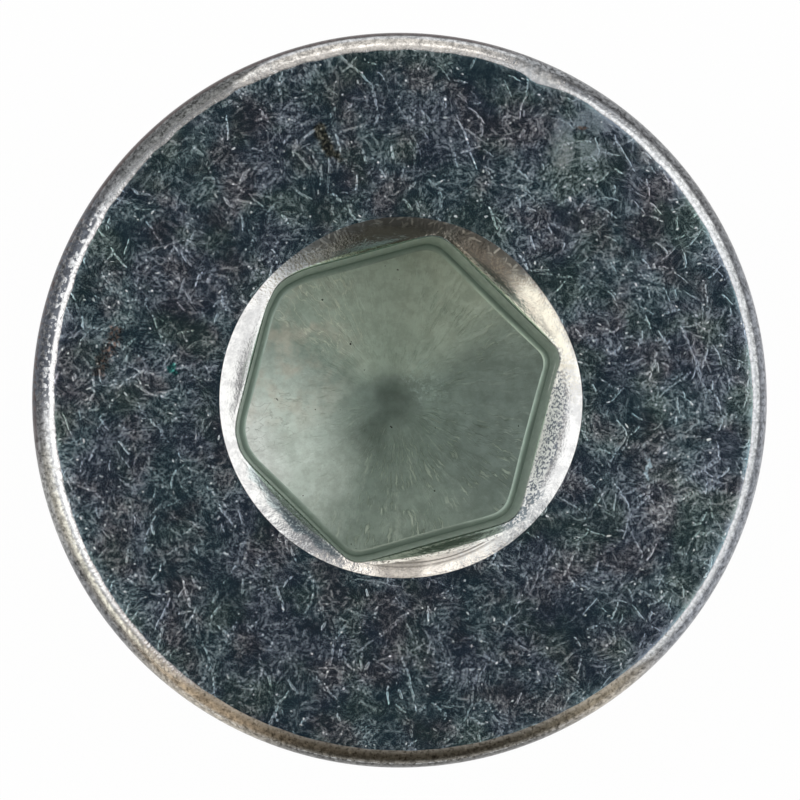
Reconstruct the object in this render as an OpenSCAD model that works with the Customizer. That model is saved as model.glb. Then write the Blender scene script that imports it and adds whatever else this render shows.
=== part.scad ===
// Hex socket plug: a round collar on a threaded shank, with a punched hex socket in its head.
// One solid. Z is the plug's axis, z = 0 is the thread end, and the socket opens at the top.
// All sizes in millimetres. The helical thread is fine and is left plain here at its outside diameter.

/* [Collar] */

// Outside diameter of the collar
collar_d = 25; // [24.8:0.05:25.2]

// Height of the collar
collar_h = 4; // [3.8:0.1:4.2]

// Radius that rounds the collar's top edge
rim_r = 0.7; // [0.5:0.05:0.9]

// Chamfer on the collar's edge beside the seat
seat_chamfer = 0.3; // [0.2:0.05:0.5]

/* [Shank] */

// Length from the seat to the thread end
shank_length = 14; // [13.6:0.1:14.4]

// Outside diameter of the thread
thread_d = 20; // [19.75:0.05:20]

// Chamfer on the thread end, one thread depth and a little more
end_chamfer = 1; // [0.95:0.05:1.3]

// Diameter at the bottom of the relief groove
relief_d = 17.7; // [17.4:0.1:17.9]

// Width of the relief groove at the thread's outside diameter
relief_width = 3; // [2.8:0.1:3.6]

// Radius at the bottom of the relief groove
relief_r = 0.8; // [0.6:0.1:0.8]

/* [Socket] */

// Size of the hex across its flats
hex_af = 10.1; // [10.05:0.01:10.15]

// Radius in each corner of the hex
hex_corner_r = 0.7; // [0.4:0.05:0.75]

// Depth of the hex at its flats
hex_depth = 7.5; // [7.3:0.1:8]

// Turn of the hex: angle of one corner from the X axis
hex_turn = 15.33; // [0:0.01:60]

// How far the punch stood off the collar's axis along X
hex_x = -0.13; // [-0.2:0.01:0.2]

// How far the punch stood off the collar's axis along Y
hex_y = 0.04; // [-0.2:0.01:0.2]

// Slope of the floor that the punch's tip leaves
floor_slope = 20; // [12:1:28]

// Radius of the flat spot at the floor's middle
floor_flat_r = 0.7; // [0.4:0.05:1]

/* [Mouth] */

// Diameter of the mouth where it meets the top face
mouth_d = 12.27; // [12.1:0.01:12.5]

// Radius of the rounded lead-in
lead_r = 2; // [1.9:0.05:2.2]

// Slope of the lead-in where it meets the top face
lead_tilt = 20; // [15:1:25]

// How far the mouth stands off the collar's axis along X
mouth_x = 0.06; // [-0.1:0.01:0.1]

// How far the mouth stands off the collar's axis along Y
mouth_y = 0.07; // [-0.1:0.01:0.1]

/* [Hidden] */

$fn = 128;
// How far each cutter runs past what it cuts
eps = 1;
// How far a round swells past the flats beside it, so that the two cross cleanly
bite = 0.0002;

collar_r = collar_d / 2;
thread_r = thread_d / 2;
relief_bottom = relief_d / 2;
groove_depth = thread_r - relief_bottom;

seat_z = shank_length;
top_z = shank_length + collar_h;
groove_z = seat_z - relief_width;

// The groove's lower side leaves the thread at 45 degrees, and its round meets that side
// and the groove's bottom, tan(22.5) of a radius from where the two would cross.
flank_z = groove_z + groove_depth;
flank_round = relief_r * tan(22.5);

floor_z = top_z - hex_depth;
tip_z = floor_z - (hex_af / 2 - floor_flat_r) * tan(floor_slope);

lead_centre_r = mouth_d / 2 + lead_r * sin(lead_tilt);
lead_centre_z = top_z - lead_r * cos(lead_tilt);

corner_centre = (hex_af / 2 - hex_corner_r) / cos(30);
corner_angles = [for (k = [0:5]) 60 * k];

// Half section of the turned blank, without its relief groove.
module blank_section() {
  polygon([
    [0, 0],
    [thread_r - end_chamfer, 0],
    [thread_r, end_chamfer],
    [thread_r, seat_z],
    [collar_r - seat_chamfer, seat_z],
    [collar_r, seat_z + seat_chamfer],
    [collar_r, top_z - rim_r],
    [collar_r - rim_r, top_z - rim_r],
    [collar_r - rim_r, top_z],
    [0, top_z],
  ]);
  translate([collar_r - rim_r, top_z - rim_r]) circle(r = rim_r);
}

// The relief groove's section: two rounds of the same radius at its bottom.
module groove_section() {
  polygon([
    [thread_r + eps, groove_z - eps],
    [thread_r + eps, seat_z],
    [relief_bottom + relief_r, seat_z],
    [relief_bottom + relief_r, seat_z - relief_r],
    [relief_bottom, seat_z - relief_r],
    [relief_bottom, flank_z + flank_round],
    [relief_bottom + relief_r, flank_z + flank_round],
    [relief_bottom + relief_r * (1 - cos(45)), flank_z + flank_round - relief_r * sin(45)],
  ]);
  for (z = [seat_z - relief_r, flank_z + flank_round])
    translate([relief_bottom + relief_r, z]) circle(r = relief_r + bite);
}

module blank() {
  rotate_extrude() difference() {
    blank_section();
    groove_section();
  }
}

// The hex with its true corner rounds.
module hex_section() {
  polygon([
    for (a = corner_angles) for (side = [-30, 30])
      [
        corner_centre * cos(a) + hex_corner_r * cos(a + side),
        corner_centre * sin(a) + hex_corner_r * sin(a + side),
      ]
  ]);
  for (a = corner_angles)
    rotate(a) translate([corner_centre, 0]) circle(r = hex_corner_r + bite);
}

// The punch: the hex with a shallow cone for its tip.
module punch() {
  translate([hex_x, hex_y, 0]) intersection() {
    rotate(hex_turn) translate([0, 0, tip_z - eps])
      linear_extrude(height = top_z - tip_z + 2 * eps) hex_section();
    rotate_extrude() polygon([
      [0, tip_z],
      [floor_flat_r, tip_z],
      [collar_r, tip_z + (collar_r - floor_flat_r) * tan(floor_slope)],
      [collar_r, top_z + eps],
      [0, top_z + eps],
    ]);
  }
}

// The rounded lead-in at the socket's mouth.
module lead_in() {
  translate([mouth_x, mouth_y, 0]) rotate_extrude() difference() {
    translate([0, lead_centre_z]) square([lead_centre_r, lead_r + eps]);
    translate([lead_centre_r, lead_centre_z]) circle(r = lead_r);
  }
}

module plug_body() {
  color([0.55, 0.58, 0.6]) difference() {
    blank();
    punch();
    lead_in();
  }
}

plug_body();
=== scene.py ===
"""Hex socket plug: the looks. A zinc plated screw plug with a collar, standing on its thread end."""

import math

import bpy
import numpy as np
from mathutils import Matrix, Vector


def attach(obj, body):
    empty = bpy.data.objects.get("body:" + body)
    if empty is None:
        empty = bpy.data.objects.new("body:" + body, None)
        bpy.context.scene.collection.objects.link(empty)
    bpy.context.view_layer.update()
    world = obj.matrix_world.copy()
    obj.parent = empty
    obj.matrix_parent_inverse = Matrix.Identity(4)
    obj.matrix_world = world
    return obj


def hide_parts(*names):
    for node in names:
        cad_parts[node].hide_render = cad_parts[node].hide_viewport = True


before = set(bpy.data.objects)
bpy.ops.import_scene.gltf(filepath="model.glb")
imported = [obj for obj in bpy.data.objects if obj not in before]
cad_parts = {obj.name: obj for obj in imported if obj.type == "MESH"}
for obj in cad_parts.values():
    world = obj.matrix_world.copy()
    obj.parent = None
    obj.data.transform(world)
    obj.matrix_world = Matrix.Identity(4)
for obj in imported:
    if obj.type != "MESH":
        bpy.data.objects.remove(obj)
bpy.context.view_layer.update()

MM = 0.001

# Sizes in millimetres, as in the solid.
COLLAR_R, COLLAR_H, SHANK = 12.5, 4.0, 14.0
RIM_R, SEAT_CHAMFER = 0.7, 0.3
TOP_Z = SHANK + COLLAR_H
THREAD_R, PITCH, END_CHAMFER = 10.0, 1.5, 1.0
RELIEF_R, RELIEF_W, RELIEF_ROUND = 8.85, 3.0, 0.8
HEX_AF, HEX_CORNER, HEX_DEPTH, HEX_TURN = 10.1, 0.7, 7.5, 15.33
HEX_X, HEX_Y = -0.13, 0.04
FLOOR_SLOPE, FLOOR_FLAT = math.radians(20), 0.7
MOUTH_R, LEAD_R, LEAD_TILT = 6.135, 2.0, math.radians(20)
MOUTH_X, MOUTH_Y = 0.06, 0.07
# The flat top is turned a little off the collar's centre, so the rim is wider on one side.
FLAT_R, FLAT_X, FLAT_Y = 11.87, 0.09, -0.01
# The small round at the foot of the hex walls.
FLOOR_FILLET = 0.34
# The burnished edge between the lead-in and the hex walls, which the punch drew up into a lip.
MOUTH_EDGE, MOUTH_LIP = 0.09, 0.7

# ---------------------------------------------------------------- the skin

# Steps round the plug: CORNER_SPAN degrees at each hex corner get finer ones than the flats between.
CORNER_STEPS, SIDE_STEPS, CORNER_SPAN = 14, 50, 8.0


def column_angles():
    """Directions of the columns of points that run down the skin, in radians."""
    turn = []
    for corner in range(6):
        start = HEX_TURN + 60 * corner
        turn += [start + CORNER_SPAN * (i / CORNER_STEPS - 0.5) for i in range(CORNER_STEPS)]
        side = 60 - CORNER_SPAN
        turn += [start + CORNER_SPAN / 2 + side * i / SIDE_STEPS for i in range(SIDE_STEPS)]
    return np.radians(np.array(turn))


ANGLE = column_angles()
COS, SIN = np.cos(ANGLE), np.sin(ANGLE)
N = len(ANGLE)

# The skin's material slots, in the order of MATERIALS.
FACE, RIM, LEAD, WALL, FILLET, FLOOR, SHANK_SKIN = range(7)

# Where the rings of points lie, in millimetres or as shares of the way across a surface.
FLOOR_RADII = (0.12, 0.3, 0.5, 0.75, 1.05, 1.4, 2.0, 2.8, 3.7, 4.4)
WALL_SHARES = (0.12, 0.3, 0.5, 0.7, 0.86, 0.95, 1.0)
LEAD_SHARES = (0.1, 0.22, 0.35, 0.48, 0.62, 0.76, 0.88, 0.96, 1.0)
FACE_SHARES = (0.04, 0.2, 0.4, 0.6, 0.8, 0.96, 1.0)
SIDE_HEIGHTS = (17.0, 16.0, 15.0, SHANK + SEAT_CHAMFER + 0.05)
SEAT_RADII = (12.1, 11.0, 10.0)
END_RADII = (8.9, 7.0, 5.0, 3.0, 1.0)
FILLET_STEPS, LIP_STEPS, RIM_STEPS, GROOVE_STEPS, FLANK_STEPS = 6, 6, 14, 8, 4
# Edges between faces that meet at more than this are sharp.
SHARP_ANGLE = math.radians(24)


class Skin:
    """One closed skin, made ring by ring from the middle of the socket's floor to the thread end."""

    def __init__(self):
        self.points, self.faces, self.slots = [], [], []
        # Rings whose edges stay sharp, whatever the angle there.
        self.sharp = []

    def point(self, x, y, z):
        self.points.append((x, y, z))
        return len(self.points) - 1

    def ring(self, x, y, z):
        x, y, z = (np.broadcast_to(a, (N,)) for a in (x, y, z))
        first = len(self.points)
        self.points += list(zip(x.tolist(), y.tolist(), z.tolist()))
        return list(range(first, first + N))

    def face(self, corners, slot):
        corners = list(dict.fromkeys(corners))
        if len(corners) > 2:
            self.faces.append(corners)
            self.slots.append(slot)

    def band(self, a, b, slot):
        for j in range(N):
            k = (j + 1) % N
            self.face([a[j], b[j], b[k], a[k]], slot)

    def grow(self, last, x, y, z, slot):
        """A new ring, joined to the last one by a band of faces."""
        ring = self.ring(x, y, z)
        self.band(last, ring, slot)
        return ring

    def fan(self, centre, ring, slot, outward):
        for j in range(N):
            k = (j + 1) % N
            self.face([centre, ring[j], ring[k]] if outward else [centre, ring[k], ring[j]], slot)


def hex_radius():
    """Distance from the hex's middle to its rounded outline, at each column."""
    off_corner = np.radians((np.degrees(ANGLE) - HEX_TURN + 30) % 60 - 30)
    half = HEX_AF / 2
    flat = half / np.cos(math.pi / 6 - np.abs(off_corner))
    centre = (half - HEX_CORNER) / math.cos(math.pi / 6)
    inside = np.maximum(HEX_CORNER**2 - (centre * np.sin(off_corner)) ** 2, 0)
    arc = centre * np.cos(off_corner) + np.sqrt(inside)
    tangent = math.atan2(half, (half - HEX_CORNER) * math.tan(math.pi / 6))
    return np.where(np.abs(off_corner) < tangent - math.pi / 3, arc, flat)


# Where each outline leaves its plain shape: direction and half width in degrees, and how far out.
# The punch's worn corners left the hex short of its full size.
WORN_CORNERS = [
    (HEX_TURN + 60, 5, -0.06),
    (HEX_TURN + 120, 6.5, -0.18),
    (HEX_TURN + 180, 5, -0.17),
    (HEX_TURN + 240, 5, -0.04),
    (HEX_TURN + 300, 5, -0.07),
]
# The turned edge of the mouth is narrower on the upper right.
MOUTH_BUMPS = [(34, 24, -0.17), (128, 22, -0.08), (272, 22, -0.03), (188, 26, 0.05)]
# The edge of the flat top has a nick on the upper right.
FLAT_BUMPS = [
    (325, 22, 0.05),
    (40, 28, -0.05),
    (182, 26, -0.07),
    (240, 14, 0.025),
    (120, 14, 0.02),
    (67, 3.2, -0.17),
]
# It is ragged too: waves in a turn, height and phase of each.
FLAT_WAVES = [(37, 0.016, 1), (61, 0.014, 2), (89, 0.012, 0)]
# Where it is most ragged, in degrees, and the share that is left far from there.
RAGGED_MIDDLE, RAGGED_HALF, RAGGED_LEAST = 120, 70, 0.25


def swell(centre, half_width):
    """A smooth bump of height 1, at each column. Its direction and half width are in degrees."""
    off = (np.degrees(ANGLE) - centre + 180) % 360 - 180
    return np.exp(-((off / half_width) ** 2))


def bumps(table):
    """The sum of a table of bumps, at each column."""
    return sum(height * swell(centre, half_width) for centre, half_width, height in table)


def mouth_radius():
    return MOUTH_R + bumps(MOUTH_BUMPS)


def flat_radius():
    ragged = sum(height * np.sin(waves * ANGLE + phase) for waves, height, phase in FLAT_WAVES)
    ragged *= RAGGED_LEAST + (1 - RAGGED_LEAST) * swell(RAGGED_MIDDLE, RAGGED_HALF)
    return FLAT_R + bumps(FLAT_BUMPS) + ragged


def lead_height(x, y):
    """Height of the rounded lead-in above each point of a ring, in plan."""
    r = np.hypot(x - MOUTH_X, y - MOUTH_Y)
    centre_r = mouth_radius() + LEAD_R * math.sin(LEAD_TILT)
    centre_z = TOP_Z - LEAD_R * math.cos(LEAD_TILT)
    return centre_z + np.sqrt(np.maximum(LEAD_R**2 - (r - centre_r) ** 2, 0))


def socket(skin):
    """The socket, from the middle of its floor up to the mouth's edge."""
    tilt = math.tan(FLOOR_SLOPE)
    floor_z = TOP_Z - HEX_DEPTH
    tip_z = floor_z - (HEX_AF / 2 - FLOOR_FLAT) * tilt
    hex_r = hex_radius() + bumps(WORN_CORNERS)
    hex_x, hex_y = HEX_X + hex_r * COS, HEX_Y + hex_r * SIN
    bowl = 2 * FLOOR_FLAT

    def floor_height(r):
        """A cone whose tip is rounded out to the radius bowl."""
        return np.where(r < bowl, tip_z + tilt * r * r / (2 * bowl), tip_z + (r - FLOOR_FLAT) * tilt)

    centre_r = hex_r - FLOOR_FILLET
    centre_z = floor_height(centre_r) + FLOOR_FILLET / math.cos(FLOOR_SLOPE)

    middle = skin.point(HEX_X, HEX_Y, tip_z)
    last = None
    for r in FLOOR_RADII:
        ring = skin.ring(HEX_X + r * COS, HEX_Y + r * SIN, floor_height(r))
        if last is None:
            skin.fan(middle, ring, FLOOR, True)
        else:
            skin.band(last, ring, FLOOR)
        last = ring
    # The fillet turns from the floor's slope to the upright wall.
    turn = math.radians(90) - FLOOR_SLOPE
    for i in range(FILLET_STEPS + 1):
        a = turn * i / FILLET_STEPS - turn
        r = centre_r + FLOOR_FILLET * math.cos(a)
        z = centre_z + FLOOR_FILLET * math.sin(a)
        last = skin.grow(last, HEX_X + r * COS, HEX_Y + r * SIN, z, FILLET if i else FLOOR)
    mouth = mouth_radius()
    ring_x, ring_y = MOUTH_X + mouth * COS, MOUTH_Y + mouth * SIN
    width = np.hypot(ring_x - hex_x, ring_y - hex_y)
    edge = MOUTH_EDGE / width
    edge_x, edge_y = hex_x + (ring_x - hex_x) * edge, hex_y + (ring_y - hex_y) * edge
    edge_z = lead_height(edge_x, edge_y)
    corner_z = lead_height(hex_x, hex_y)
    top = corner_z - MOUTH_EDGE
    for share in WALL_SHARES:
        last = skin.grow(last, hex_x, hex_y, centre_z + (top - centre_z) * share, WALL)
    # A quadratic curve from the wall, round the lip, to the lead-in.
    lip_z = corner_z + (edge_z - corner_z) * MOUTH_LIP
    for i in range(1, LIP_STEPS + 1):
        t = i / LIP_STEPS
        low, mid, high = (1 - t) ** 2, 2 * t * (1 - t), t * t
        x, y = hex_x * (low + mid) + edge_x * high, hex_y * (low + mid) + edge_y * high
        last = skin.grow(last, x, y, top * low + lip_z * mid + edge_z * high, LEAD)
    for share in LEAD_SHARES:
        x, y = edge_x + (ring_x - edge_x) * share, edge_y + (ring_y - edge_y) * share
        last = skin.grow(last, x, y, lead_height(x, y), LEAD)
    skin.sharp.append(last)
    return last


# Where the cut thread runs out into the relief groove.
THREAD_TOP = 11.95


def collar(skin, last):
    """The collar and the relief groove, from the mouth's edge down to the top of the thread."""
    mouth, flat = mouth_radius(), flat_radius()
    flat_x, flat_y = FLAT_X + flat * COS, FLAT_Y + flat * SIN
    for share in FACE_SHARES:
        x = (MOUTH_X + mouth * COS) * (1 - share) + flat_x * share
        y = (MOUTH_Y + mouth * SIN) * (1 - share) + flat_y * share
        last = skin.grow(last, x, y, TOP_Z, FACE)
    # The rim: a quarter ellipse from the flat top's edge to the collar's side.
    for i in range(1, RIM_STEPS + 1):
        a = math.pi / 2 * i / RIM_STEPS
        out, down = math.sin(a), 1 - math.cos(a)
        x = flat_x + (COLLAR_R * COS - flat_x) * out
        y = flat_y + (COLLAR_R * SIN - flat_y) * out
        last = skin.grow(last, x, y, TOP_Z - RIM_R * down, RIM)
    for z in SIDE_HEIGHTS:
        last = skin.grow(last, COLLAR_R * COS, COLLAR_R * SIN, z, RIM)
    profile = [(COLLAR_R, SHANK + SEAT_CHAMFER), (COLLAR_R - SEAT_CHAMFER, SHANK)]
    profile += [(r, SHANK) for r in SEAT_RADII]
    # The groove's upper round, and its lower one as far as the thread.
    flank_z = SHANK - RELIEF_W + THREAD_R - RELIEF_R
    low = flank_z + RELIEF_ROUND * math.tan(math.pi / 8)
    reach = math.degrees(math.asin((low - THREAD_TOP) / RELIEF_ROUND))
    rounds = [(SHANK - RELIEF_ROUND, a) for a in np.linspace(90, 180, GROOVE_STEPS + 1)]
    rounds += [(low, a) for a in np.linspace(180, 180 + reach, FLANK_STEPS + 1)]
    for centre_z, a in rounds:
        r = RELIEF_R + RELIEF_ROUND + RELIEF_ROUND * math.cos(math.radians(a))
        profile.append((r, centre_z + RELIEF_ROUND * math.sin(math.radians(a))))
    for r, z in profile:
        last = skin.grow(last, r * COS, r * SIN, z, SHANK_SKIN)
    return last


# Points of the thread this close to its ends join the ring there.
THREAD_SNAP = 0.02
# One pitch of the thread's section: height below the crest's middle, and depth under the crest.
FLANK = math.tan(math.radians(30))
ROOT_DEPTH = 0.6134 * PITCH
SECTION = [
    (0.0, 0.0),
    (0.07, 0.0),
    (0.12, 0.05),
    (0.3, 0.2063 / FLANK),
    (0.48, 0.3863 / FLANK),
    (0.6, 0.5063 / FLANK),
    (0.67, ROOT_DEPTH - 0.01),
]
SECTION += [(PITCH / 2, ROOT_DEPTH)] + [(PITCH - s, d) for s, d in reversed(SECTION[1:])]


def thread(skin, last):
    """The helical thread, right-handed, clipped by the end chamfer and the relief groove."""
    per_turn = len(SECTION)
    rise = PITCH * (ANGLE - ANGLE[0]) / (2 * math.pi)
    foot = skin.ring((THREAD_R - END_CHAMFER) * COS, (THREAD_R - END_CHAMFER) * SIN, 0.0)
    rows = []
    turns = math.ceil(THREAD_TOP / PITCH) + 1
    for k in range(turns * per_turn + 1):
        drop, depth = SECTION[k % per_turn]
        z = THREAD_TOP - PITCH * (k // per_turn) - drop + rise
        limit = np.minimum(THREAD_R - END_CHAMFER + z, THREAD_R - (z - SHANK + RELIEF_W))
        r = np.minimum(THREAD_R - depth, limit)
        row = []
        for j in range(N):
            if z[j] > THREAD_TOP - THREAD_SNAP:
                row.append(last[j])
            elif z[j] < THREAD_SNAP:
                row.append(foot[j])
            else:
                row.append(skin.point(r[j] * COS[j], r[j] * SIN[j], z[j]))
        rows.append(row)
    for k in range(len(rows) - 1):
        for j in range(N - 1):
            skin.face([rows[k][j], rows[k + 1][j], rows[k + 1][j + 1], rows[k][j + 1]], SHANK_SKIN)
        high = rows[k - per_turn][0] if k >= per_turn else last[0]
        low = rows[k + 1 - per_turn][0] if k + 1 >= per_turn else last[0]
        skin.face([rows[k][N - 1], rows[k + 1][N - 1], low, high], SHANK_SKIN)
    return foot


def thread_end(skin, last):
    for r in END_RADII:
        last = skin.grow(last, r * COS, r * SIN, 0.0, SHANK_SKIN)
    skin.fan(skin.point(0, 0, 0), last, SHANK_SKIN, False)


def build_plug():
    skin = Skin()
    thread_end(skin, thread(skin, collar(skin, socket(skin))))
    mesh = bpy.data.meshes.new("plug")
    mesh.from_pydata([(x * MM, y * MM, z * MM) for x, y, z in skin.points], [], skin.faces)
    mesh.polygons.foreach_set("material_index", skin.slots)
    mesh.polygons.foreach_set("use_smooth", [True] * len(skin.faces))
    mesh.validate()
    mesh.set_sharp_from_angle(angle=SHARP_ANGLE)
    edges = np.empty(len(mesh.edges) * 2, int)
    mesh.edges.foreach_get("vertices", edges)
    edges = edges.reshape(-1, 2)
    sharp = np.empty(len(mesh.edges), bool)
    mesh.attributes["sharp_edge"].data.foreach_get("value", sharp)
    for ring in skin.sharp:
        sharp |= ((edges >= ring[0]) & (edges <= ring[-1])).all(1)
    mesh.attributes["sharp_edge"].data.foreach_set("value", sharp)
    mesh.update()
    plug = bpy.data.objects.new("plug", mesh)
    bpy.context.scene.collection.objects.link(plug)
    return plug


# ---------------------------------------------------------------- materials


class Graph:
    """Short names for making shader nodes."""

    def __init__(self, tree):
        self.tree = tree

    def node(self, kind, inputs=(), **settings):
        made = self.tree.nodes.new("ShaderNode" + kind)
        for name, value in settings.items():
            setattr(made, name, value)
        pairs = inputs.items() if isinstance(inputs, dict) else enumerate(inputs)
        for name, value in pairs:
            self.feed(made.inputs[name], value)
        return made

    def feed(self, socket_in, value):
        if isinstance(value, bpy.types.NodeSocket):
            self.tree.links.new(value, socket_in)
        else:
            if socket_in.type == "RGBA" and len(value) == 3:
                value = (*value, 1.0)
            socket_in.default_value = value

    def math(self, operation, *values, clamp=False):
        return self.node("Math", values, operation=operation, use_clamp=clamp).outputs[0]

    def vector(self, operation, *values):
        made = self.node("VectorMath", values, operation=operation)
        return made.outputs["Value" if operation in ("LENGTH", "DISTANCE", "DOT_PRODUCT") else 0]

    def scaled(self, vector, factor):
        return self.node("VectorMath", {"Vector": vector, "Scale": factor}, operation="SCALE").outputs[0]

    def parts(self, vector):
        return self.node("SeparateXYZ", [vector]).outputs

    def joined(self, x, y, z=0.0):
        return self.node("CombineXYZ", [x, y, z]).outputs[0]

    def step(self, value, low, high, to_low=0.0, to_high=1.0):
        """Smooth step from to_low to to_high as value goes from low to high."""
        made = self.node("MapRange", interpolation_type="SMOOTHSTEP")
        names = ("Value", "From Min", "From Max", "To Min", "To Max")
        for name, number in zip(names, (value, low, high, to_low, to_high)):
            self.feed(made.inputs[name], number)
        return made.outputs["Result"]

    def mix(self, factor, a, b):
        made = self.node("Mix", data_type="RGBA")
        for index, value in ((0, factor), (6, a), (7, b)):
            self.feed(made.inputs[index], value)
        return made.outputs[2]

    def noise(self, vector, scale, detail=2.0, rough=0.5, colour=False, flat=False):
        inputs = {"Vector": vector, "Scale": scale, "Detail": detail, "Roughness": rough}
        made = self.node("TexNoise", inputs, noise_dimensions="2D" if flat else "3D")
        return made.outputs["Color" if colour else 0]

    def shifted(self, vector, *offset):
        return self.vector("ADD", vector, offset)

    def flattened(self, vector):
        """The vector without its height."""
        return self.vector("MULTIPLY", vector, (1.0, 1.0, 0.0))

    def warped(self, vector, scale, reach, detail=2.0, flat=False):
        """Each point moved by a smooth random amount, up to about half of reach."""
        push = self.noise(vector, scale, detail, colour=True, flat=flat)
        push = self.vector("SUBTRACT", push, (0.5, 0.5, 0.5))
        return self.vector("ADD", vector, self.scaled(push, reach))

    def union(self, *masks):
        """1 where any mask is 1, adding up softly."""
        return self.piled(masks)

    def piled(self, masks):
        """The union of many masks. Each is used up as it is made, which keeps the shader small."""
        left = 1.0
        for mask in masks:
            left = self.math("MULTIPLY", left, self.math("SUBTRACT", 1.0, mask))
        return self.math("SUBTRACT", 1.0, left)

    def both(self, *masks):
        """1 only where every mask is 1."""
        total = masks[0]
        for mask in masks[1:]:
            total = self.math("MULTIPLY", total, mask)
        return total

    def flat_direction(self, vector):
        return self.vector("NORMALIZE", self.flattened(vector))

    def sector(self, direction, centre, half, soft):
        """1 where a level direction lies within half degrees of centre."""
        centre, edge = math.radians(centre), math.radians(half)
        near = self.vector("DOT_PRODUCT", direction, (math.cos(centre), math.sin(centre), 0.0))
        soft = math.radians(soft)
        return self.step(near, math.cos(edge + soft), math.cos(max(edge - soft, 0.0)))

    def spot(self, mm, centre, reach):
        """1 in an oval on the top face."""
        local = self.vector("SUBTRACT", mm, (*centre, TOP_Z))
        away = self.vector("LENGTH", self.vector("DIVIDE", local, (*reach, 1.0)))
        return self.step(away, 1.1, 0.75)

    def streak(self, mm, start, end, width):
        """1 along a straight mark on the top face, from start to end, fading out over width."""
        start, end = Vector((*start, TOP_Z)), Vector((*end, TOP_Z))
        line = end - start
        local = self.vector("SUBTRACT", mm, start)
        along = self.math("DIVIDE", self.vector("DOT_PRODUCT", local, line), line.length_squared)
        along = self.node("Clamp", [along]).outputs[0]
        foot = self.scaled(tuple(line), along)
        return self.step(self.vector("DISTANCE", local, foot), width, width * 0.3)

    def group(self, tree, inputs):
        made = self.tree.nodes.new("ShaderNodeGroup")
        made.node_tree = tree
        for name, value in inputs.items():
            self.feed(made.inputs[name], value)
        return made.outputs


def new_group(name, inputs, outputs):
    """An empty node group, its Graph, what it is given and what it gives out."""
    tree = bpy.data.node_groups.new(name, "ShaderNodeTree")
    for title in inputs:
        kind = "NodeSocketVector" if title == "Vector" else "NodeSocketFloat"
        tree.interface.new_socket(title, in_out="INPUT", socket_type=kind)
    for title in outputs:
        tree.interface.new_socket(title, in_out="OUTPUT", socket_type="NodeSocketFloat")
    given = tree.nodes.new("NodeGroupInput").outputs
    out = tree.nodes.new("NodeGroupOutput").inputs
    return tree, Graph(tree), given, out


# How far each layer of marks is moved from the one before, so that no two are alike.
SEED_SHIFT = (7.31, 3.77, 0.0)


def scattered_cells(g, given):
    """Cells of a scattered grid: the place from a cell's middle, turned at random, its three chances,
    and the distance from its middle as a share of the cell."""
    moved = g.vector("ADD", given["Vector"], g.vector("MULTIPLY", given["Seed"], SEED_SHIFT))
    placed = g.scaled(moved, g.math("DIVIDE", 1.0, given["Cell"]))
    cell = g.node("TexVoronoi", {"Vector": placed, "Scale": 1.0}, voronoi_dimensions="2D")
    local = g.scaled(g.vector("SUBTRACT", placed, cell.outputs["Position"]), given["Cell"])
    chance = g.node("SeparateColor", [cell.outputs["Color"]]).outputs
    angle = g.math("MULTIPLY", chance[0], 2 * math.pi)
    turned = g.node("VectorRotate", {"Vector": local, "Angle": angle}, rotation_type="Z_AXIS")
    return g.parts(turned.outputs[0]), chance, cell.outputs["Distance"]


def more_chance(g, chance, factor):
    """One more chance from 0 to 1, worked out of a chance that the cell has."""
    return g.math("FRACT", g.math("MULTIPLY", chance, factor))


def strokes_group():
    """One short curved stroke in each cell of a scattered grid."""
    names = ("Vector", "Cell", "Length", "Width", "Bend", "Seed", "Share")
    tree, g, given, out = new_group("strokes", names, ("Mask", "Tone"))
    place, chance, _ = scattered_cells(g, given)
    along = place[0]
    bend = g.both(g.math("SUBTRACT", chance[1], 0.5), given["Bend"], along, along)
    across = g.math("SUBTRACT", place[1], bend)
    half = g.math("MULTIPLY", given["Length"], g.math("MULTIPLY_ADD", chance[2], 0.35, 0.2))
    out_along = g.math("POWER", g.math("ABSOLUTE", g.math("DIVIDE", along, half)), 3.0)
    thickness = g.math("MULTIPLY_ADD", more_chance(g, chance[0], 17.3), 0.5, 0.5)
    width = g.math("MULTIPLY", given["Width"], thickness)
    out_across = g.math("DIVIDE", g.math("ABSOLUTE", across), width)
    mask = g.step(g.math("ADD", out_along, out_across), 1.0, 0.5)
    there = g.math("LESS_THAN", more_chance(g, chance[2], 41.1), given["Share"])
    g.feed(out["Mask"], g.both(mask, there))
    g.feed(out["Tone"], more_chance(g, chance[1], 29.7))
    return tree


# Each cell's bundle is cut from another place of one grain, within this many of its strokes.
BUNDLE_SPREAD = 50.0


def bundles_group():
    """A bundle of fine parallel strokes in each cell of a scattered grid."""
    names = ("Vector", "Cell", "Length", "Width", "Bend", "Seed")
    tree, g, given, out = new_group("bundles", names, ("Mask",))
    place, chance, distance = scattered_cells(g, given)
    bend = g.both(g.math("SUBTRACT", chance[1], 0.5), given["Bend"], place[0], place[0])
    along = g.math("DIVIDE", place[0], given["Length"])
    along = g.math("ADD", along, g.math("MULTIPLY", chance[1], BUNDLE_SPREAD))
    across = g.math("DIVIDE", g.math("SUBTRACT", place[1], bend), given["Width"])
    across = g.math("MULTIPLY_ADD", chance[2], BUNDLE_SPREAD, across)
    grain = g.noise(g.joined(along, across), 1.0, 0.0, flat=True)
    tone = g.math("MULTIPLY_ADD", more_chance(g, chance[1], 29.7), 0.6, 0.4)
    g.feed(out["Mask"], g.both(g.step(grain, 0.54, 0.68), g.step(distance, 0.7, 0.4), tone))
    return tree


STROKES, BUNDLES = strokes_group(), bundles_group()
# How each layer is bent a little more than the one before: scale, reach and detail.
LAYER_WARP = (1.5, 0.05, 0.0)
# The first layer of bundles is shifted by this much more than the first layer of strokes.
BUNDLE_SEED = 20.5
# The faintest stroke of a layer, as a share of the layer's strength.
LEAST_TONE = 0.35


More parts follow.
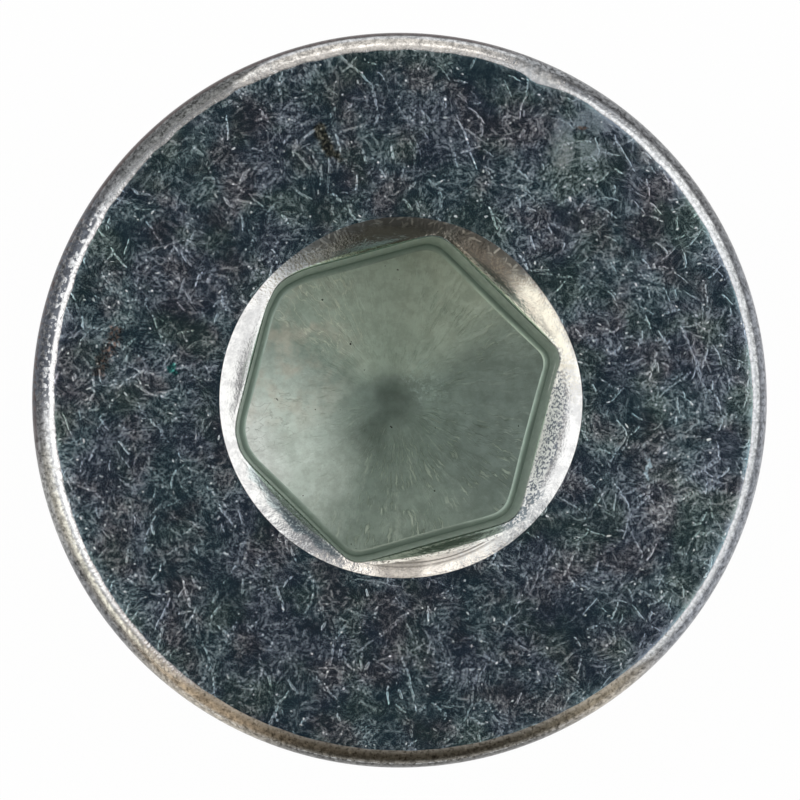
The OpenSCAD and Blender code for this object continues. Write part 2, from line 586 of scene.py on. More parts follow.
def strokes(g, mm, layers):
    """Layers of single strokes: cell, length, width, bend, share of cells that have one, strength.

    Each layer starts from the bent place of the one before, so the shader makes them one by one.
    """
    for seed, (cell, length, width, bend, share, strength) in enumerate(layers, 1):
        mm = g.warped(mm, *LAYER_WARP, flat=True)
        inputs = {"Vector": mm, "Cell": cell, "Length": length, "Width": width, "Bend": bend}
        made = g.group(STROKES, {**inputs, "Seed": float(seed), "Share": share})
        faintest = LEAST_TONE * strength
        tone = g.math("MULTIPLY_ADD", made["Tone"], strength - faintest, faintest)
        yield g.both(made["Mask"], tone)


def bundles(g, mm, layers):
    """Layers of bundled strokes: cell, length, width, bend, strength."""
    for seed, (cell, length, width, bend, strength) in enumerate(layers, 1):
        mm = g.warped(mm, *LAYER_WARP, flat=True)
        inputs = {"Vector": mm, "Cell": cell, "Length": length, "Width": width, "Bend": bend}
        made = g.group(BUNDLES, {**inputs, "Seed": seed + BUNDLE_SEED})
        yield g.math("MULTIPLY", made["Mask"], strength)


def new_material(name):
    """A material, its Graph and its coordinates in millimetres from the plug's foot."""
    material = bpy.data.materials.new(name)
    material.use_nodes = True
    tree = material.node_tree
    tree.nodes.clear()
    g = Graph(tree)
    coordinates = g.node("TexCoord").outputs["Object"]
    return material, g, g.scaled(coordinates, 1 / MM)


def finish_material(g, colour, roughness, height, depth, metal=1.0):
    """Metal with a bump that is depth millimetres high."""
    inputs = {"Base Color": colour, "Roughness": roughness, "Metallic": metal}
    shader = g.node("BsdfPrincipled", inputs)
    bump = g.node("Bump", {"Strength": 1.0, "Distance": depth * MM, "Height": height})
    g.feed(shader.inputs["Normal"], bump.outputs[0])
    g.feed(g.node("OutputMaterial").inputs[0], shader.outputs[0])


# Tumbling marks on the flat face, as strokes() and bundles() take them: the deeper ones, the fine ones,
# specks of painted glint, and bundles of fine ones.
FACE_DEEP = [
    (0.60, 0.72, 0.066, 0.9, 0.65, 0.92),
    (0.90, 1.15, 0.064, 0.5, 0.55, 0.88),
    (1.90, 2.60, 0.055, 0.1, 0.3, 0.82),
]
FACE_FINE = [
    (0.32, 0.38, 0.062, 2.0, 0.8, 0.80),
    (0.40, 0.50, 0.064, 1.5, 0.8, 0.84),
    (0.50, 0.68, 0.065, 1.0, 0.8, 0.88),
]
FACE_GLINTS = [(0.40, 0.12, 0.044, 0.0, 0.35, 0.80), (0.75, 0.20, 0.045, 0.0, 0.30, 0.90)]
FACE_BUNDLES = [
    (0.60, 0.60, 0.12, 1.2, 0.65),
    (0.85, 0.75, 0.13, 0.8, 0.65),
    (1.20, 0.95, 0.14, 0.5, 0.60),
]
# Single long scratches: start, end, width, strength.
FACE_STREAKS = [
    ((8.2, -3.9), (10.6, -2.9), 0.13, 0.75),
    ((7.5, -3.3), (8.7, -2.7), 0.09, 0.65),
    ((9.4, -2.9), (10.8, -2.0), 0.12, 0.75),
    ((8.7, -1.7), (10.1, -0.75), 0.08, 0.6),
    ((9.6, 2.4), (10.4, 0.1), 0.09, 0.6),
    ((8.8, 0.1), (9.7, 0.8), 0.05, 0.6),
    ((-1.7, -8.7), (0.9, -6.7), 0.06, 0.7),
    ((-8.9, 0.15), (-8.1, 0.15), 0.06, 0.85),
    ((-10.1, 4.2), (-9.3, 4.3), 0.07, 0.8),
    ((-10.1, 3.9), (-9.4, 3.6), 0.11, 0.5),
    ((-0.2, 9.5), (0.15, 9.5), 0.05, 0.6),
    ((-0.25, 9.25), (0.2, 9.3), 0.05, 0.6),
    ((-0.2, 9.05), (0.1, 9.05), 0.05, 0.6),
    ((-0.1, 8.8), (0.2, 8.8), 0.05, 0.7),
]
# Scuffed places: middle and reach.
FACE_SCUFFS = [((5.5, 8.7), (0.45, 0.95)), ((6.45, 8.45), (0.4, 0.5)), ((6.6, 9.5), (0.8, 0.5))]
# Crusted places: start, end, width.
FACE_CRUST = [((-2.72, 9.15), (-2.4, 8.45), 0.3), ((-2.5, 8.6), (-2.1, 8.15), 0.2)]
# A rusty streak and spot, a green spot and a bright chip.
RUST_STREAK, RUST_SPOT = ((-10.2, 1.0), (-9.6, 2.3), 0.35), ((6.1, 9.2), (0.18, 0.12))
GREEN_SPOT, CHIP = ((-7.7, 1.0), (0.15, 0.2)), ((8.4, -2.25), (0.12, 0.42))


def face_material():
    """The flat top: tumbling marks over blue, green and dull tints, and a few stains."""
    material, g, mm = new_material("zinc_face")
    warped = g.warped(g.warped(mm, 1.1, 0.3), 7.0, 0.06)
    deep = g.piled(strokes(g, warped, FACE_DEEP))
    single = g.piled(
        g.math("MULTIPLY", g.streak(warped, *place), strength) for *place, strength in FACE_STREAKS
    )
    cloud = g.step(g.noise(mm, 0.6, 4.0, 0.6, flat=True), 0.28, 0.62, 0.35, 1.0)
    broken = g.step(g.noise(mm, 11.0, 2.0, flat=True), 0.34, 0.6, 0.2, 1.0)
    relief = g.both(g.union(deep, single), broken)
    fine = g.piled(strokes(g, g.shifted(warped, 40.0, 0.0, 0.0), FACE_FINE))
    fine = g.union(fine, g.piled(bundles(g, warped, FACE_BUNDLES)))
    marks = g.both(g.union(g.both(g.union(deep, fine), cloud), single), broken)
    haze = g.both(g.step(g.noise(mm, 3.5, 4.0, 0.75, flat=True), 0.36, 0.72, 0.12, 0.38), cloud)
    ragged = g.warped(mm, 3.0, 0.5)
    scuffs = g.piled(g.spot(ragged, *scuff) for scuff in FACE_SCUFFS)
    crust = g.piled(g.streak(ragged, *place) for place in FACE_CRUST)
    scraped = g.both(scuffs, g.step(g.noise(mm, 9.0, 3.0, 0.7), 0.3, 0.7, 0.2, 0.6))
    marks = g.union(marks, haze, scraped)

    blue = g.step(g.noise(g.shifted(mm, 31.0, 7.0, 0.0), 0.4, 3.0, flat=True), 0.35, 0.65)
    dull = g.step(g.noise(g.shifted(mm, 3.0, 57.0, 0.0), 0.55, 3.0, flat=True), 0.45, 0.7)
    green = g.step(g.noise(g.shifted(mm, 11.0, 45.0, 0.0), 0.5, 3.0, flat=True), 0.45, 0.72)
    dark = g.mix(blue, (0.46, 0.66, 0.73), (0.50, 0.58, 0.72))
    dark = g.mix(g.both(dull, 0.65), dark, (0.60, 0.53, 0.57))
    dark = g.mix(g.both(green, 0.75), dark, (0.53, 0.72, 0.63))
    light = g.mix(blue, (0.375, 0.445, 0.475), (0.375, 0.435, 0.495))
    light = g.mix(dull, light, (0.405, 0.43, 0.45))
    colour = g.mix(marks, dark, light)
    crusted = g.mix(broken, (0.15, 0.14, 0.09), (0.26, 0.24, 0.17))
    colour = g.mix(g.both(crust, 0.85), colour, crusted)
    rust = g.union(g.streak(ragged, *RUST_STREAK), g.spot(ragged, *RUST_SPOT))
    colour = g.mix(g.both(rust, broken, 0.7), colour, (0.34, 0.19, 0.13))
    colour = g.mix(g.both(g.spot(ragged, *GREEN_SPOT), 0.7), colour, (0.05, 0.55, 0.48))
    # Specks of painted glint: a near-white colour that stands in for tiny highlights.
    specks = g.piled(strokes(g, g.shifted(warped, 0.0, 80.0, 0.0), FACE_GLINTS))
    colour = g.mix(specks, colour, (0.85, 0.90, 0.93))
    chip = g.both(g.spot(ragged, *CHIP), g.step(g.noise(mm, 7.0, 2.0), 0.35, 0.6, 0.2, 0.85))
    colour = g.mix(chip, colour, (0.46, 0.60, 0.68))
    rough = g.math("MULTIPLY_ADD", g.union(marks, specks, chip), 0.22, 0.07)
    finish_material(g, colour, rough, relief, 0.0020)
    return material


# The rim darkens from its middle outwards: stain, and painted shade for the dim floor the outer rim
# mirrors.
# Direction and half width in degrees, and how many millimetres higher up the darkening starts there.
RIM_STAIN_STARTS = [
    (91, 23, -0.16),
    (130, 14, 0.08),
    (170, 22, 0.02),
    (272, 38, 0.15),
    (330, 22, 0.03),
]
# Thin lines on the lower rim that the painted shade leaves out, so they mirror the glowing floor
# brightly:
# direction, half width and height. Each fades in between these two distances from its height.
RIM_UNSHADED_LINES = [(268, 34, 17.77), (337, 24, 17.67)]
RIM_LINE_FAR, RIM_LINE_NEAR = 0.025, 0.01
# Small dents on the rim, as strokes() takes them.
RIM_NICKS = [(0.3, 0.3, 0.05, 1.0, 0.6, 1.0), (0.5, 0.5, 0.06, 1.0, 0.5, 1.0)]


def rim_material():
    """The rounded rim and the collar's side: stain with painted shade and reflections outside a bright
    inner ring.
    """
    material, g, mm = new_material("zinc_rim")
    height = g.parts(mm)[2]
    level = g.flat_direction(g.warped(mm, 2.0, 0.35))
    mottle = g.noise(mm, 7.0, 4.0, 0.75)
    speckle = g.step(g.noise(mm, 6.0, 2.0, 0.6), 0.5, 0.56)
    grit = g.step(g.noise(g.shifted(mm, 9.0, 0.0, 0.0), 5.5, 4.0, 0.7), 0.34, 0.66, 0.6, 1.35)
    nicks = g.piled(strokes(g, g.warped(mm, 5.0, 0.1), RIM_NICKS))
    side = g.step(height, 15.6, 17.2)
    start = height
    for direction, half, raised in RIM_STAIN_STARTS:
        shift = g.math("MULTIPLY", g.sector(level, direction, half, 6), -raised)
        start = g.math("ADD", start, shift)
    outer = g.both(g.step(start, 17.95, 17.86), side, g.step(mottle, 0.3, 0.65, 1.0, 0.7))
    for direction, half, line in RIM_UNSHADED_LINES:
        band = g.step(height, line - RIM_LINE_FAR, line - RIM_LINE_NEAR)
        band = g.both(band, g.step(height, line + RIM_LINE_FAR, line + RIM_LINE_NEAR))
        bright = g.both(band, g.sector(level, direction, half, 3), g.step(mottle, 0.46, 0.58), 0.7)
        outer = g.both(outer, g.math("SUBTRACT", 1.0, bright))
    # Painted shade on the left of the rim, below its top edge, which narrows the bright ring there.
    left = g.both(g.sector(level, 164, 17, 4), g.step(height, 17.99, 17.97), side)
    left = g.both(left, g.math("MULTIPLY_ADD", speckle, -1.0, 0.97))
    zinc = g.mix(g.step(mottle, 0.35, 0.7), (0.66, 0.67, 0.68), (0.45, 0.46, 0.47))
    dimmed = g.vector("MULTIPLY", zinc, (0.78, 0.79, 0.80))
    zinc = g.mix(g.sector(level, 345, 40, 12), zinc, dimmed)
    # Stain mixed with painted reflections of the studio; the dark olive stands for a dark thing
    # mirrored.
    stain_and_reflection = g.mix(g.sector(level, 345, 35, 10), (0.14, 0.145, 0.155), (0.27, 0.29, 0.33))
    stain_and_reflection = g.mix(g.sector(level, 127, 14, 6), stain_and_reflection, (0.085, 0.09, 0.09))
    stain_and_reflection = g.mix(g.sector(level, 269, 43, 8), stain_and_reflection, (0.50, 0.44, 0.35))
    stain_and_reflection = g.mix(g.sector(level, 196, 7, 4), stain_and_reflection, (0.30, 0.30, 0.29))
    painted_olive_reflection = g.mix(g.step(height, 17.84, 17.72), (0.19, 0.17, 0.13), (0.045, 0.04, 0.03))
    stain_and_reflection = g.mix(g.sector(level, 273, 24, 7), stain_and_reflection, painted_olive_reflection)
    blackened = g.vector("MULTIPLY", stain_and_reflection, (0.35, 0.35, 0.35))
    stain_and_reflection = g.mix(g.step(mottle, 0.54, 0.36), stain_and_reflection, blackened)
    brown = g.both(g.sector(level, 130, 58, 8), g.step(height, 17.76, 17.66), side)
    stain_and_reflection = g.mix(brown, stain_and_reflection, (0.075, 0.055, 0.055))
    colour = g.mix(g.union(outer, brown), zinc, stain_and_reflection)
    colour = g.mix(left, colour, (0.10, 0.11, 0.13))
    scuffed = g.both(g.sector(level, 67, 3.5, 1.5), g.step(height, 17.6, 17.7))
    colour = g.mix(g.both(scuffed, g.step(mottle, 0.35, 0.6)), colour, (0.40, 0.42, 0.44))
    colour = g.mix(g.both(side, g.step(height, 17.99, 17.95)), colour, g.scaled(colour, grit))
    rough = g.math("MULTIPLY_ADD", g.union(outer, left, scuffed), 0.2, 0.14)
    relief = g.math("MULTIPLY_ADD", nicks, -0.5, mottle)
    finish_material(g, colour, rough, relief, 0.006)
    return material


# Tumbling marks that run over the mouth's edge, as strokes() takes them.
LEAD_MARKS = [(0.30, 0.40, 0.060, 2.0, 0.8, 0.9), (0.45, 0.60, 0.060, 1.0, 0.8, 0.9)]
# The lips on the hex's flats: turn from a corner, how far out the lip is green, how that line bows and
# where along the flat its middle is, the green's tone, which paints each flat's light and shade, and the
# strength of the painted highlight on its edge.
LIPS = [
    (30, 5.18, 0.010, 0.0, 0.48, 0.5),
    (90, 5.22, 0.030, 0.0, 0.52, 0.0),
    (150, 5.15, 0.040, -0.3, 0.44, 1.0),
    (210, 5.28, 0.050, 0.0, 0.38, 0.2),
    (270, 5.42, 0.035, 0.6, 0.28, 1.0),
    (330, 5.12, 0.020, 0.0, 0.65, 0.8),
]
# The lips' green at full tone, how softly it ends, and how wide the painted highlight is beyond it.
LIP_GREEN, LIP_SOFT, LIP_HIGHLIGHT = (0.80, 1.0, 0.86), 0.03, 0.10


def lead_material():
    """The rounded lead-in and the lips that the punch drew up at its foot."""
    material, g, mm = new_material("zinc_lead_in")
    local = g.shifted(mm, -MOUTH_X, -MOUTH_Y, 0.0)
    radius = g.vector("LENGTH", g.flattened(local))
    ragged = g.warped(g.warped(local, 1.2, 0.7), 6.0, 0.15)
    level = g.flat_direction(ragged)
    ragged_radius = g.vector("LENGTH", g.flattened(ragged))
    speck = g.noise(mm, 11.0, 2.0, 0.6)
    speckle = g.step(speck, 0.5, 0.6)
    blotch = g.step(g.noise(mm, 1.6, 4.0, 0.65), 0.42, 0.62)
    zinc = g.mix(blotch, (0.78, 0.78, 0.77), (0.62, 0.62, 0.62))
    zinc = g.mix(g.sector(level, 90, 42, 12), zinc, (0.46, 0.52, 0.56))
    # Blue-grey places, low on both sides and along the right.
    inner = g.step(ragged_radius, 5.85, 5.7)
    deeper = g.step(ragged_radius, 5.66, 5.56)
    low_left = g.both(g.sector(level, 236, 14, 5), inner)
    blue = g.union(low_left, g.both(g.sector(level, 212, 20, 5), deeper))
    low_right = g.both(g.sector(level, 315, 11, 4), g.step(ragged_radius, 5.88, 5.76, 0.35, 1.0))
    blue = g.union(blue, low_right)
    rough_side = g.both(g.sector(level, 350, 38, 8), g.step(ragged_radius, 5.6, 5.4))
    rough_side = g.both(rough_side, g.step(ragged_radius, 5.05, 5.2, 0.2, 0.6))
    blue = g.both(g.union(blue, rough_side), g.math("MULTIPLY_ADD", speckle, -0.8, 0.9))
    # Brown painted shade above, where the lead-in mirrors dark surroundings, and brown below.
    shade = g.both(g.sector(level, 36, 16, 8), g.step(radius, 5.9, 6.05), 0.7)
    upper = g.both(g.sector(level, 57, 12, 5), 0.85)
    brown = g.union(upper, shade, g.both(g.sector(level, 269, 7, 3), 0.6))
    # Fine lines round the mouth, from turning.
    turned = g.joined(g.math("MULTIPLY", radius, 14.0), g.parts(level)[0], 0.0)
    scored = g.step(g.noise(turned, 1.0, 2.0, flat=True), 0.5, 0.42)
    scored = g.both(scored, g.sector(level, 278, 24, 8), g.step(radius, 5.9, 5.65), 0.75)
    brown = g.union(brown, scored, g.both(g.sector(level, 120, 12, 7), 0.5))
    tinted = g.both(g.sector(level, 222, 24, 10), g.step(ragged_radius, 5.85, 5.6))
    zinc = g.mix(tinted, zinc, (0.62, 0.72, 0.72))
    colour = g.mix(blue, zinc, (0.155, 0.195, 0.225))
    # Frosted zinc low on the right, which mirrors less.
    milky = g.both(g.sector(level, 347, 31, 8), g.step(ragged_radius, 5.72, 5.45))
    frosty = g.mix(g.step(speck, 0.42, 0.55), (0.15, 0.18, 0.24), (0.96, 1.0, 1.0))
    colour = g.mix(g.both(milky, 0.8), colour, frosty)
    colour = g.mix(brown, colour, g.mix(speckle, (0.12, 0.115, 0.11), (0.20, 0.19, 0.17)))
    # The tumbling marks run over the mouth's upper edge, which has no bright ring.
    outside = g.both(g.sector(level, 84, 44, 10), g.step(ragged_radius, 5.6, 5.95))
    worn = g.piled(strokes(g, g.warped(mm, 7.0, 0.06), LEAD_MARKS))
    worn = g.mix(worn, (0.11, 0.12, 0.125), (0.44, 0.47, 0.48))
    colour = g.mix(g.both(outside, 0.8), colour, worn)
    # The lips are green like the walls, shaded flat by flat in paint, with a painted highlight on the
    # edge.
    hexed = g.shifted(mm, -HEX_X, -HEX_Y, 0.0)
    edges = []
    for turn, reach, bow, middle, tone, bright in LIPS:
        normal = math.radians(HEX_TURN + turn)
        out = g.vector("DOT_PRODUCT", hexed, (math.cos(normal), math.sin(normal), 0.0))
        along = g.vector("DOT_PRODUCT", hexed, (-math.sin(normal), math.cos(normal), 0.0))
        bowed = g.math("POWER", g.math("SUBTRACT", along, middle), 2.0)
        lip = g.math("MULTIPLY_ADD", bowed, bow, out)
        here = g.both(g.step(g.math("ABSOLUTE", along), 2.6, 2.0), g.step(out, 4.5, 4.8))
        green = tuple(part * tone for part in LIP_GREEN)
        colour = g.mix(g.both(here, g.step(lip, reach, reach - LIP_SOFT)), colour, green)
        edge = g.both(here, g.step(lip, reach - LIP_SOFT, reach))
        edge = g.both(edge, g.step(lip, reach + LIP_HIGHLIGHT, reach + 0.6 * LIP_HIGHLIGHT))
        edge = g.both(edge, g.step(speck, 0.35, 0.5, 0.0, bright))
        colour = g.mix(edge, colour, (0.95, 0.97, 0.95))
        edges.append(edge)
    edge = g.union(*edges)
    rough = g.math("MULTIPLY_ADD", g.union(blue, brown, outside, edge), 0.15, 0.14)
    dents = g.math("MULTIPLY_ADD", g.noise(mm, 2.2, 3.0, 0.5), 2.5, speck)
    metal = g.math("MULTIPLY_ADD", milky, -0.75, 1.0)
    finish_material(g, colour, rough, dents, 0.012, metal)
    return material


# The socket is duller than bare zinc, so these are less than fully metal.
WALL_METAL, FLOOR_METAL = 0.35, 0.6


def wall_material():
    """The hex walls: drawn upright by the punch, with one bright score on the right."""
    material, g, mm = new_material("zinc_wall")
    streak = g.noise(g.vector("MULTIPLY", mm, (3.0, 3.0, 0.3)), 1.5, 3.0, 0.6)
    colour = g.mix(g.step(streak, 0.3, 0.7), (0.41, 0.49, 0.445), (0.54, 0.63, 0.57))
    x, y, z = g.parts(mm)
    score = g.both(g.step(x, 4.0, 4.1), g.step(y, 0.25, 0.45), g.step(y, 1.35, 1.15))
    score = g.both(score, g.step(z, 14.4, 14.7), g.step(z, 15.6, 15.3), g.step(streak, 0.3, 0.5))
    colour = g.mix(score, colour, (0.92, 0.95, 0.92))
    finish_material(g, colour, 0.35, streak, 0.01, WALL_METAL)
    return material


def fillet_material():
    """The round at the foot of the walls: painted highlight along the floor, painted shade in the corner
    under the walls.
    """
    material, g, mm = new_material("zinc_socket_fillet")
    grain = g.noise(mm, 6.0, 3.0, 0.6)
    patch = g.step(g.noise(mm, 0.5, 2.0), 0.4, 0.6)
    colour = g.mix(g.step(grain, 0.35, 0.7), (0.36, 0.44, 0.39), (0.44, 0.52, 0.47))
    colour = g.mix(patch, (0.30, 0.37, 0.33), colour)
    rise = g.parts(g.node("NewGeometry").outputs["Normal"])[2]
    level = g.flat_direction(g.shifted(mm, -HEX_X, -HEX_Y, 0.0))
    # Painted highlight along the floor, full on the right and weaker on the left.
    lit = g.union(g.sector(level, 10, 60, 14), g.both(g.sector(level, 180, 48, 14), 0.4))
    uneven = g.step(g.noise(mm, 0.9, 3.0, 0.6), 0.3, 0.6, 0.4, 1.0)
    colour = g.mix(g.both(g.step(rise, 0.6, 0.9), lit, uneven), colour, (0.57, 0.70, 0.62))
    # Painted shade in the dark corner under the walls.
    under = g.both(g.step(rise, 0.6, 0.45), g.step(rise, 0.0, 0.15), 0.85)
    colour = g.mix(under, colour, (0.24, 0.31, 0.27))
    finish_material(g, colour, 0.3, grain, 0.006, WALL_METAL)
    return material


def floor_material():
    """The socket's floor: rays from a middle of painted shade, painted light and shade round the cone,
    frost, cracks and dark specks.
    """
    material, g, mm = new_material("zinc_socket_floor")
    local = g.shifted(mm, -HEX_X, -HEX_Y, 0.0)
    flat = g.flattened(g.warped(g.warped(local, 1.5, 0.3), 5.0, 0.08))
    radius = g.vector("LENGTH", flat)
    # The direction goes round a wide circle and the radius up, so what is made here runs in rays.
    round_about = g.scaled(g.vector("NORMALIZE", flat), 12.0)
    polar = g.vector("ADD", round_about, g.joined(0.0, 0.0, radius))
    level = g.flat_direction(local)
    rays = g.both(g.step(g.noise(polar, 1.0, 4.0, 0.65), 0.45, 0.75), g.step(radius, 0.5, 1.6))
    spread = g.vector("MULTIPLY", polar, (3.6, 3.6, 1.6))
    frost = g.step(g.noise(spread, 1.0, 3.0, 0.65), 0.53, 0.64)
    frosted = g.union(g.sector(level, 60, 40, 12), g.sector(level, 295, 50, 14), 0.15)
    frost = g.both(frost, frosted, g.step(radius, 0.7, 1.6))
    frost = g.both(frost, g.step(g.noise(mm, 1.2, 2.0), 0.42, 0.58))
    ridge = g.noise(g.shifted(polar, 50.0, 3.0, 9.0), 0.8, 3.0)
    ridge = g.math("ABSOLUTE", g.math("SUBTRACT", ridge, 0.5))
    cracks = g.both(g.step(ridge, 0.014, 0.0), g.step(radius, 2.6, 3.4), g.sector(level, 186, 14, 6))
    branches = g.both(g.step(ridge, 0.02, 0.0), g.step(radius, 1.6, 2.4), g.sector(level, 128, 16, 6))
    # Painted light and shade on the cone: brighter above and on the left, brightest at the outer left,
    # and dark on the right and in its middle, with a painted shadow running down to the lower left.
    away = g.step(radius, 0.8, 3.8)
    colour = g.mix(rays, (0.28, 0.35, 0.312), (0.36, 0.435, 0.39))
    top = g.both(g.sector(level, 90, 48, 25), g.step(radius, 0.4, 1.5))
    colour = g.mix(top, colour, (0.53, 0.62, 0.54))
    colour = g.mix(g.both(g.sector(level, 200, 30, 25), away), colour, (0.74, 0.82, 0.76))
    corner = g.both(g.sector(level, 198, 14, 12), g.step(radius, 3.8, 5.2))
    colour = g.mix(corner, colour, (0.97, 1.0, 0.97))
    colour = g.mix(g.both(g.sector(level, 350, 30, 30), away), colour, (0.22, 0.275, 0.25))
    shadow_wedge = g.both(g.sector(level, 240, 16, 14), g.step(radius, 2.8, 1.2))
    middle = g.union(g.step(radius, 1.3, 0.3), g.both(shadow_wedge, 0.8))
    colour = g.mix(g.both(middle, 0.85), colour, (0.10, 0.135, 0.115))
    # Stains and frost over it.
    blotch = g.step(g.noise(mm, 1.1, 4.0, 0.6), 0.4, 0.65)
    warm = g.both(g.sector(level, 157, 32, 18), away)
    colour = g.mix(g.both(blotch, warm, 0.65), colour, (0.56, 0.52, 0.44))
    clouded = g.step(g.noise(mm, 2.0, 6.0, 0.75), 0.62, 0.38, 0.0, 0.5)
    colour = g.mix(clouded, colour, g.vector("MULTIPLY", colour, (0.62, 0.62, 0.60)))
    hoar = g.both(g.sector(level, 35, 32, 14), g.step(radius, 0.6, 1.0), g.step(radius, 2.3, 1.5))
    hoar = g.both(hoar, g.step(g.noise(mm, 6.0, 4.0, 0.75), 0.46, 0.66))
    colour = g.mix(g.both(hoar, 0.5), colour, (0.52, 0.64, 0.60))
    colour = g.mix(g.both(frost, 0.6), colour, (0.58, 0.66, 0.57))
    colour = g.mix(g.both(branches, 0.7), colour, (0.70, 0.74, 0.62))
    colour = g.mix(g.both(cracks, 0.35), colour, (0.14, 0.16, 0.13))
    specks = g.step(g.noise(mm, 4.0, 2.0), 0.74, 0.77)
    colour = g.mix(specks, colour, (0.03, 0.03, 0.025))
    rough = g.math("MULTIPLY_ADD", g.union(rays, blotch), -0.1, 0.55)
    finish_material(g, colour, rough, g.union(rays, frost), 0.012, FLOOR_METAL)
    return material


def shank_material():
    """The thread, the groove and the seat: plain zinc with fine turning lines."""
    material, g, mm = new_material("zinc_shank")
    mottle = g.noise(mm, 1.4, 4.0, 0.6)
    colour = g.mix(g.step(mottle, 0.35, 0.7), (0.52, 0.55, 0.58), (0.42, 0.46, 0.50))
    grain = g.noise(g.vector("MULTIPLY", mm, (1.0, 1.0, 8.0)), 3.0, 3.0, 0.6)
    finish_material(g, colour, 0.28, grain, 0.01)
    return material


# In the order of the skin's slots.
MATERIALS = (
    face_material,
    rim_material,
    lead_material,
    wall_material,
    fillet_material,
    floor_material,
    shank_material,
)

plug = build_plug()
for make in MATERIALS:
    plug.data.materials.append(make())
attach(plug, "root")
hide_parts("plug_body")

# ---------------------------------------------------------------- studio

# The paper under the plug: half its side and its height, in metres, and how far it glows by itself to
# the camera and in mirrors, so that it shows white while the plug's shadow still falls on it.
FLOOR_HALF, FLOOR_Z, FLOOR_GLOW = 3.0, -1e-5, 0.97


def make_floor():
    mesh = bpy.data.meshes.new("floor")
    signs = ((-1, -1), (1, -1), (1, 1), (-1, 1))
    corners = [(x * FLOOR_HALF, y * FLOOR_HALF, FLOOR_Z) for x, y in signs]
    mesh.from_pydata(corners, [], [(0, 1, 2, 3)])
    floor = bpy.data.objects.new("floor", mesh)
    bpy.context.scene.collection.objects.link(floor)
    material = bpy.data.materials.new("paper")
    material.use_nodes = True
    tree = material.node_tree
    tree.nodes.clear()
    g = Graph(tree)
    paper = g.node("BsdfDiffuse", {"Color": (0.9, 0.9, 0.9)}).outputs[0]
    glow = g.node("Emission", {"Color": (1.0, 1.0, 1.0), "Strength": 1.0}).outputs[0]
    path = g.node("LightPath").outputs
    seen = g.math("MAXIMUM", path["Is Camera Ray"], path["Is Glossy Ray"])
    seen = g.math("MAXIMUM", seen, path["Is Transmission Ray"])
    mixed = g.node("MixShader", [g.math("MULTIPLY", seen, FLOOR_GLOW), paper, glow]).outputs[0]
    g.feed(g.node("OutputMaterial").inputs[0], mixed)
    mesh.materials.append(material)


# What the plug mirrors. Each patch of the studio has its direction, half width and softness in degrees,
# the heights over which it fades in from below and out above (0 is level, 1 is overhead), and its
# colour. Later patches cover earlier ones.
STUDIO = [
    (0, 45, 12, (0.15, 0.5), (0.92, 0.8), (1.35, 1.35, 1.33)),
    (172, 34, 10, (0.15, 0.5), (0.92, 0.8), (1.35, 1.35, 1.35)),
    (120, 14, 8, (0.12, 0.3), (0.76, 0.66), (1.25, 1.25, 1.22)),
    (209, 17, 6, (0.2, 0.35), (0.82, 0.7), (1.35, 1.28, 1.08)),
    (209, 17, 6, (0.0, 0.05), (0.35, 0.2), (1.15, 1.05, 0.88)),
    (330, 16, 6, (0.05, 0.2), (0.72, 0.62), (1.15, 1.15, 1.15)),
    (93, 20, 2, (0.0, 0.04), (0.985, 0.965), (1.0, 0.93, 0.84)),
    (237, 12, 1.5, (0.0, 0.05), (0.985, 0.965), (0.78, 0.65, 0.52)),
    (304, 8, 1.5, (0.0, 0.05), (0.985, 0.965), (0.58, 0.53, 0.43)),
    (273, 24.5, 1.5, (-2.0, -1.0), (0.985, 0.965), (0.085, 0.075, 0.055)),
    (181, 37, 4, (0.86, 0.92), (0.992, 0.985), (2.4, 2.35, 2.3)),
    (6, 56, 4, (0.8, 0.88), (0.99, 0.98), (1.75, 1.75, 1.75)),
]


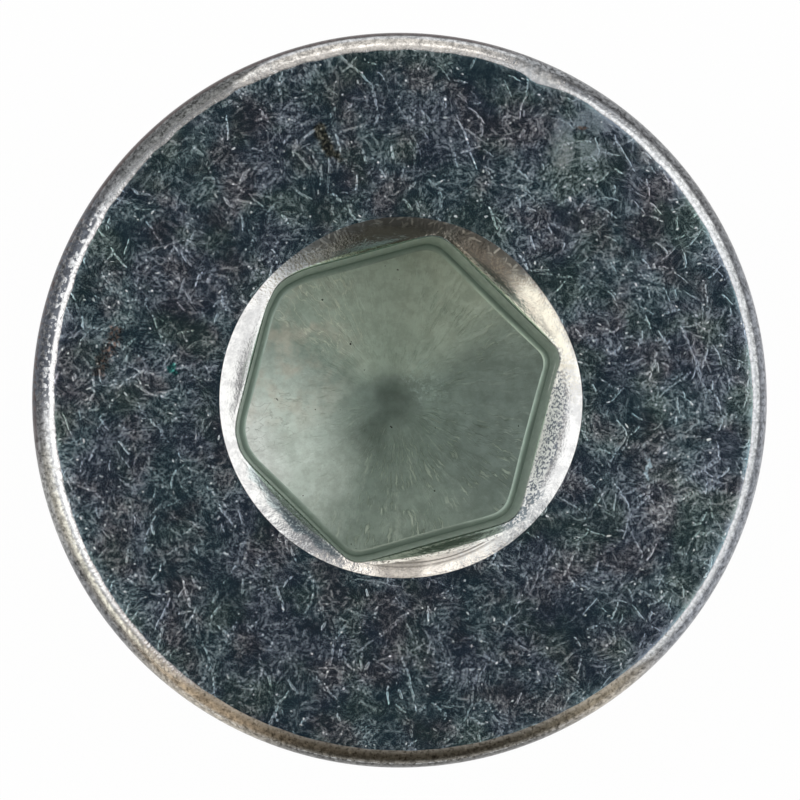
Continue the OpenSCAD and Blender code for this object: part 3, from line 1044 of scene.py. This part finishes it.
def make_world():
    """A soft studio: dark overhead, bright on two sides, and dark towards -Y."""
    world = bpy.data.worlds.new("studio")
    bpy.context.scene.world = world
    world.use_nodes = True
    tree = world.node_tree
    tree.nodes.clear()
    g = Graph(tree)
    direction = g.node("TexCoord").outputs["Generated"]
    height = g.parts(direction)[2]
    level = g.flat_direction(direction)
    colour = g.mix(g.step(height, 0.1, 0.6), (0.22, 0.22, 0.23), (0.32, 0.33, 0.35))
    colour = g.mix(g.step(height, 0.93, 0.98), colour, (0.015, 0.022, 0.028))
    for centre, half, soft, below, above, tint in STUDIO:
        patch = g.both(g.sector(level, centre, half, soft), g.step(height, *below))
        patch = g.both(patch, g.step(height, *above))
        colour = g.mix(patch, colour, tint)
    colour = g.mix(g.step(height, 0.06, 0.01), colour, (1.0, 1.0, 1.0))
    back = g.node("Background", {"Color": colour, "Strength": 1.0}).outputs[0]
    g.feed(g.node("OutputWorld").inputs[0], back)


def make_lamp(name, centre, size, watts, colour):
    """A flat soft box that faces straight down. Sizes are in metres."""
    data = bpy.data.lights.new(name, "AREA")
    data.shape = "RECTANGLE"
    data.size, data.size_y = size
    data.energy = watts
    data.color = colour
    lamp = bpy.data.objects.new(name, data)
    lamp.location = centre
    lamp.visible_camera = False
    bpy.context.scene.collection.objects.link(lamp)


make_floor()
make_world()
make_lamp("soft_top", (0.0, 0.47, 0.45), (0.3, 0.24), 0.2, (1.0, 0.93, 0.86))

# Where the camera stands, what it looks at and its sensor's width, in millimetres.
CAMERA_PLACE, CAMERA_TARGET = (-3.1, -1.0, 189.0), (0.0, 0.0, 17.5)
SENSOR_WIDTH = 36.0
# The picture's width and the collar's, in pixels.
PICTURE_PIXELS, COLLAR_PIXELS = 800, 735.7


def make_camera():
    data = bpy.data.cameras.new("camera")
    camera = bpy.data.objects.new("camera", data)
    bpy.context.scene.collection.objects.link(camera)
    target = Vector(CAMERA_TARGET) * MM
    place = Vector(CAMERA_PLACE) * MM
    ahead = (target - place).normalized()
    right = ahead.cross(Vector((0, 1, 0))).normalized()
    up = right.cross(ahead)
    camera.matrix_world = Matrix(
        (
            (right.x, up.x, -ahead.x, place.x),
            (right.y, up.y, -ahead.y, place.y),
            (right.z, up.z, -ahead.z, place.z),
            (0, 0, 0, 1),
        )
    )
    data.sensor_width = SENSOR_WIDTH
    # The width that the picture takes in at the target.
    width = PICTURE_PIXELS * 2 * COLLAR_R / COLLAR_PIXELS * MM
    data.lens = SENSOR_WIDTH / width * (place - target).length
    data.clip_start, data.clip_end = 0.005, 20.0
    bpy.context.scene.camera = camera


make_camera()
bpy.context.scene.view_settings.view_transform = "Standard"
